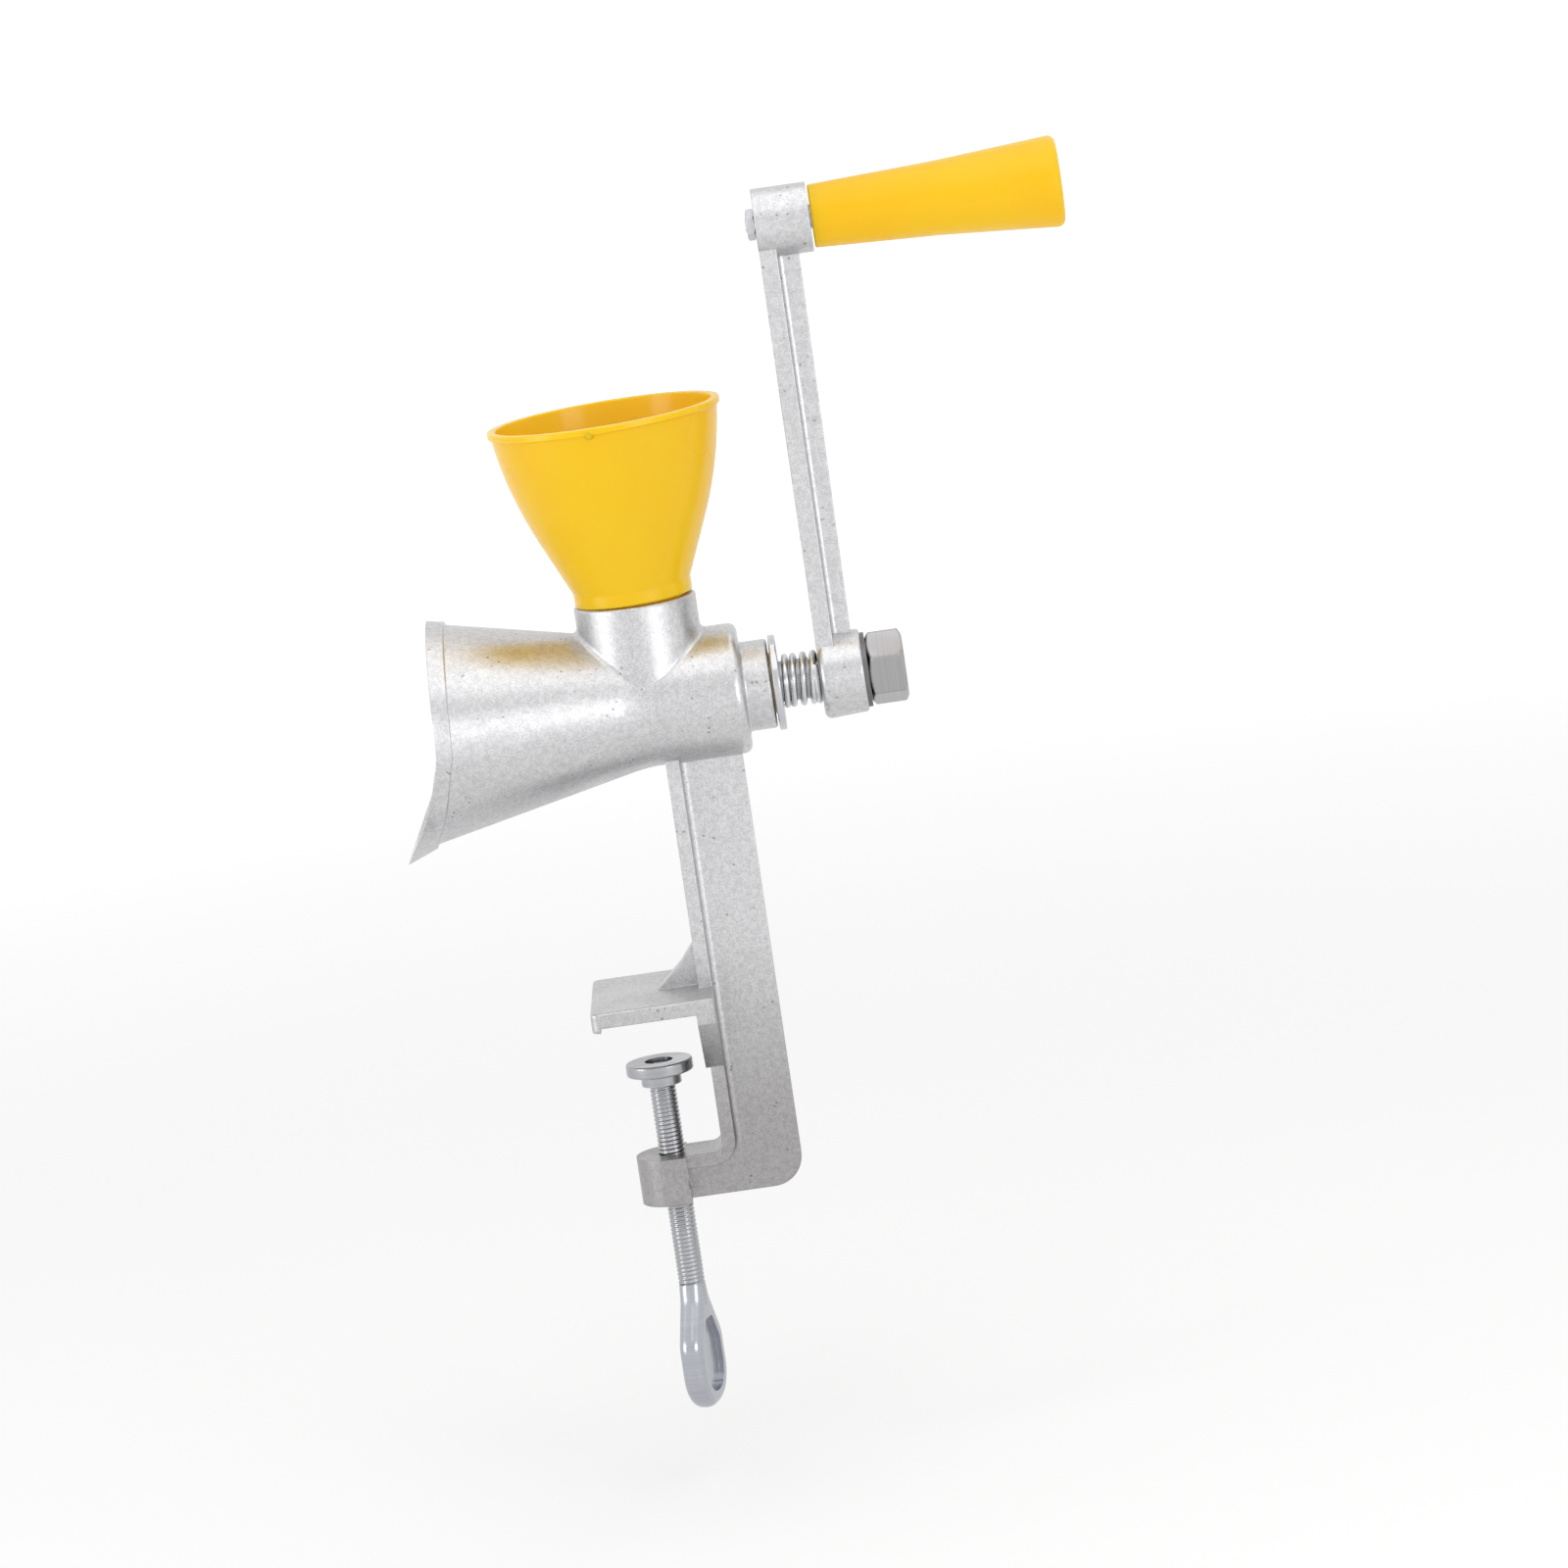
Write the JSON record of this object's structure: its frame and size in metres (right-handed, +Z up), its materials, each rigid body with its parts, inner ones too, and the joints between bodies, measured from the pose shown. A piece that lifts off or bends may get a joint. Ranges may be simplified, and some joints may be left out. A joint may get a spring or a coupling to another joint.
{
  "type": "hand crank peanut grinder",
  "caption": "Hand crank peanut grinder: cast aluminium mill with flared slanted mouth, push-in yellow funnel, spring-loaded crank with tapered grip, and a table clamp with a wing screw.",
  "frame": {"origin": "where the clamp screw's axis meets the table seat, the underside of the upper clamp jaw", "axes": "+Z up along the clamp screw and the post, +X along the barrel's axis towards the crank, -X towards the mouth"},
  "size_m": [0.2171, 0.0686, 0.3604],
  "materials": {
    "cast_aluminium": "bright die-cast satin with fine cast grain",
    "yellow_funnel": "injection-moulded polypropylene, semi-gloss, slightly translucent",
    "yellow_grip": "moulded plastic, satin",
    "cast_burr": "machined cast iron with ground tooth tips",
    "shaft_steel": "turned steel",
    "bush_brass": "turned brass",
    "zinc_steel": "zinc-plated steel",
    "spring_steel": "bright drawn spring wire",
    "dark_steel": "blackened steel",
    "nut_chrome": "bright nickel plate",
    "wing_zinc": "polished zinc die casting"
  },
  "bodies": {
    "mill": {"mill_body": "cast_aluminium", "grinding_ring": "cast_burr", "rear_bush": "bush_brass", "thrust_washer": "zinc_steel"},
    "funnel": {"hopper_funnel": "yellow_funnel"},
    "shaft": {"auger_shaft": "shaft_steel", "rotor_burr": "cast_burr", "rotor_washer": "zinc_steel", "rotor_screw": "zinc_steel", "tension_spring": "spring_steel"},
    "crank": {"crank_arm": "cast_aluminium", "crank_washer": "dark_steel", "grip_bolt": "zinc_steel", "grip_washer": "zinc_steel", "grip_lock_nut": "zinc_steel"},
    "nut": {"crank_nut": "nut_chrome"},
    "handle": {"grip": "yellow_grip"},
    "pad": {"clamp_pad": "zinc_steel"},
    "screw": {"clamp_screw": "zinc_steel", "clamp_wing": "wing_zinc"}
  },
  "joints": [
    {"name": "crank_spin", "type": "hinge", "parent": "mill", "child": "shaft", "pos_m": [0, 0, 0.09], "axis": [1, 0, 0], "continuous": true},
    {"name": "crank_adjust", "type": "slide", "parent": "shaft", "child": "crank", "axis": [-1, 0, 0], "range_m": [0, 0.00175], "deforming": ["tension_spring"]},
    {"name": "nut_turn", "type": "hinge", "parent": "crank", "child": "nut", "pos_m": [0, 0, 0.09], "axis": [-1, 0, 0], "range_deg": [-10, 370]},
    {"name": "grip_spin", "type": "hinge", "parent": "crank", "child": "handle", "pos_m": [0, 0, 0.2239], "axis": [1, 0, 0], "continuous": true},
    {"name": "funnel_lift", "type": "slide", "parent": "mill", "child": "funnel", "axis": [0, 0, 1], "range_m": [0, 0.03]},
    {"name": "pad_travel", "type": "slide", "parent": "mill", "child": "pad", "axis": [0, 0, 1], "range_m": [-0.02, 0.01625]},
    {"name": "screw_turn", "type": "hinge", "parent": "pad", "child": "screw", "pos_m": [0, 0, 0], "axis": [0, 0, 1], "range_deg": [-5770, 4690]}
  ],
  "couplings": [
    {"joint": "nut_turn", "follows": "crank_adjust", "rad_per_m": 3590.4},
    {"joint": "screw_turn", "follows": "pad_travel", "rad_per_m": 5026.5}
  ]
}
